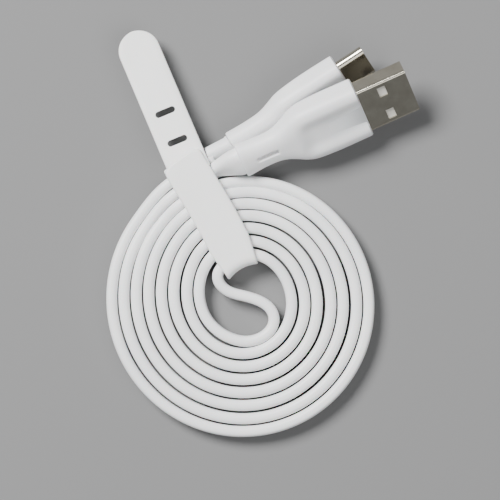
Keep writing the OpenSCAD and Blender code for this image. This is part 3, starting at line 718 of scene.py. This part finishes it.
# the slotted tail and the tab under the head, in one band that bends at the hinge line
def makeStrapTail():
    r = strap["w"] / 2 - 0.1
    length = strap["tailL"]
    spots = []
    x = -strap["tabL"] - strap["tabHidden"]
    while x < length - r:
        spots.append(x)
        x += strap["tailStep"]
    steps = strap["tipSteps"]
    spots += [length - r + r * math.sin(math.pi / 2 * k / steps) for k in range(steps)]
    pitch = math.tan(math.radians(strap["tailPitch"]))
    path = []
    for x in spots:
        past = max(0, x - (length - r))
        halfW = max(math.sqrt(max(r * r - past * past, 0)), strap["tipHalf"])
        drop = -pitch * smoothStep((x + 1) / 4) * max(0, x)
        path.append((x, drop + slope * min(0, x), halfW, 0))
    verts, faces = skin(bandRings(path, tailFrame))
    piece = meshPiece("strapTail", verts, faces, materials["strapSilicone"])
    for k in range(strap["slots"]):
        at = strap["firstSlot"] + (k - 1) * strap["slotPitch"]
        rings = [[tailFrame @ Vector(v) for v in stadiumRing(at, z, strap["slotL"], strap["slotW"])]
                 for z in (-strap["slotCut"], strap["slotCut"])]
        cutVerts, cutFaces = skin(rings)
        cutter = meshPiece("slotCutter", cutVerts, cutFaces, materials["strapSilicone"])
        cut = piece.modifiers.new("slot", "BOOLEAN")
        cut.operation, cut.object, cut.solver = "DIFFERENCE", cutter, "EXACT"
        applyModifiers(piece)
        bpy.data.objects.remove(cutter)
    sharpenCorners(piece, strap["sharpFrom"])
    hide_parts("strap_tail")
    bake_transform(piece)


# marks edges sharper than the angle, so that smooth shading stops at them
def sharpenCorners(piece, degrees):
    bm = bmesh.new()
    bm.from_mesh(piece.data)
    for edge in bm.edges:
        if len(edge.link_faces) == 2 and edge.calc_face_angle(0) > math.radians(degrees):
            edge.smooth = False
    bm.to_mesh(piece.data)
    bm.free()


finishes = {
    "usb_a_shell": "nickelFront", "usb_a_tongue": "insulatorWhite",
    "usb_a_solder_joints": "solderTin", "usb_a_wire_power": "wireRed",
    "usb_a_wire_ground": "wireBlack", "usb_a_wire_data_plus": "wireGreen",
    "usb_a_wire_data_minus": "wireWhite", "usb_a_inner_mould": "innerMould",
    "usb_c_shell": "nickelRear", "usb_c_insulator": "insulatorDark",
    "usb_c_latch_springs": "nickelRear", "usb_c_board": "boardGreen",
    "usb_c_resistor": "chipBlack", "usb_c_wire_power": "wireRed", "usb_c_wire_ground": "wireBlack",
    "usb_c_wire_data_plus": "wireGreen", "usb_c_wire_data_minus": "wireWhite",
    "usb_c_inner_mould": "innerMould",
}
for nodeName, finish in finishes.items():
    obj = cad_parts[nodeName]
    obj.data.materials.clear()
    obj.data.materials.append(materials[finish])

# places run across the plug; back and tip along it, and middle is the height
contacts = {
    "usb_a_power_contacts": {"plug": usbA, "places": [-3.5, 3.5], "back": -9, "tip": 9.9,
                             "width": 1, "thickness": 0.25, "middle": -0.075},
    "usb_a_data_contacts": {"plug": usbA, "places": [-1, 1], "back": -9, "tip": 8.9,
                            "width": 1, "thickness": 0.25, "middle": -0.075},
    "usb_c_upper_contacts": {"plug": usbC, "places": [-2.75, -1.25, -0.75, -0.25, 0.25, 1.25, 2.75],
                             "back": -8, "tip": 4.6, "width": 0.25, "thickness": 0.15, "middle": 0.495},
    "usb_c_lower_contacts": {"plug": usbC, "places": [-2.75, -1.25, -0.75, 1.25, 2.75],
                             "back": -8, "tip": 4.6, "width": 0.25, "thickness": 0.15, "middle": -0.495},
}


# one stamped blade with rounded edges, on every point of the mesh that it is given
def contactTree():
    tree = bpy.data.node_groups.new("contactBlades", "GeometryNodeTree")
    tree.interface.new_socket("Geometry", in_out="INPUT", socket_type="NodeSocketGeometry")
    for name in ("Back", "Tip", "Width", "Thickness"):
        tree.interface.new_socket(name, in_out="INPUT", socket_type="NodeSocketFloat")
    tree.interface.new_socket("Finish", in_out="INPUT", socket_type="NodeSocketMaterial")
    tree.interface.new_socket("Geometry", in_out="OUTPUT", socket_type="NodeSocketGeometry")
    given = addNode(tree, "NodeGroupInput").outputs
    start = addNode(tree, "ShaderNodeCombineXYZ", inputs={"X": given["Back"]})
    end = addNode(tree, "ShaderNodeCombineXYZ", inputs={"X": given["Tip"]})
    spine = addNode(tree, "GeometryNodeCurvePrimitiveLine", inputs={
        "Start": start.outputs[0], "End": end.outputs[0]})
    outline = addNode(tree, "GeometryNodeCurvePrimitiveQuadrilateral", inputs={
        "Width": given["Width"], "Height": given["Thickness"]})
    edge = addNode(tree, "ShaderNodeMath", {"operation": "MULTIPLY"}, {0: given["Thickness"], 1: 0.3})
    rounded = addNode(tree, "GeometryNodeFilletCurve", inputs={
        "Curve": outline.outputs[0], "Radius": edge.outputs[0]})
    blade = addNode(tree, "GeometryNodeCurveToMesh", inputs={
        "Curve": spine.outputs[0], "Profile Curve": rounded.outputs[0], "Fill Caps": True})
    row = addNode(tree, "GeometryNodeInstanceOnPoints", inputs={
        "Points": given["Geometry"], "Instance": blade.outputs[0]})
    real = addNode(tree, "GeometryNodeRealizeInstances", inputs={"Geometry": row.outputs[0]})
    finished = addNode(tree, "GeometryNodeSetMaterial", inputs={
        "Geometry": real.outputs[0], "Material": given["Finish"]})
    addNode(tree, "NodeGroupOutput", inputs={"Geometry": finished.outputs[0]})
    return tree


def makeContacts(tree, node, given):
    mesh = bpy.data.meshes.new(node)
    mesh.from_pydata([(0, y * mm, given["middle"] * mm) for y in given["places"]], [], [])
    piece = bpy.data.objects.new(node + "_blades", mesh)
    bpy.context.scene.collection.objects.link(piece)
    modifier = piece.modifiers.new("blades", "NODES")
    modifier.node_group = tree
    for item in tree.interface.items_tree:
        if item.in_out == "INPUT" and item.name.lower() in given:
            modifier[item.identifier] = given[item.name.lower()] * mm
        elif item.name == "Finish":
            modifier[item.identifier] = materials["contactGold"]
    applyModifiers(piece)
    place = plugMatrix(given["plug"])
    place.translation *= mm
    piece.data.transform(place)
    bm = bmesh.new()
    bm.from_mesh(piece.data)
    bmesh.ops.remove_doubles(bm, verts=bm.verts, dist=1e-7)
    bmesh.ops.recalc_face_normals(bm, faces=bm.faces)
    bm.to_mesh(piece.data)
    bm.free()
    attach(piece, given["plug"]["body"])
    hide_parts(node)


blades = contactTree()
for node, given in contacts.items():
    makeContacts(blades, node, given)
print("contacts made")


def insideBoot(plug, lead):  # where the cable's jacket goes over to the boot's own stretch of it
    return curveThrough(collarRoute(plug, lead)[:4], cableEnd["fine"])[3]


cord, cordPath, cordLength = makeCable(insideBoot(usbA, leadFront), insideBoot(usbC, leadRear))
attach(cord, "cable")
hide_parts("cable_coil", "cable_crossover", "cable_lead_front", "cable_lead_rear")
print("cable made,", round(cordLength, 3), "m")

gripA = makeGrip("usbAGrip", usbA, "usb_a_grip")
gripC = makeGrip("usbCGrip", usbC, "usb_c_grip")
bootA = makeBoot("usbABoot", usbA, leadFront, "usb_a_boot")
bootC = makeBoot("usbCBoot", usbC, leadRear, "usb_c_boot")
endA = makeCableEnd("usbACableEnd", usbA, leadFront, "usb_a_cable_end")
endC = makeCableEnd("usbCCableEnd", usbC, leadRear, "usb_c_cable_end")
for piece in (bootA, endA):
    bendWithPlug(piece)
for piece in (bootC, endC):
    bendWithPlug(piece)
print("plugs made")

makeStrapLoop()
makeStrapHead()
makeStrapTail()
print("strap made")
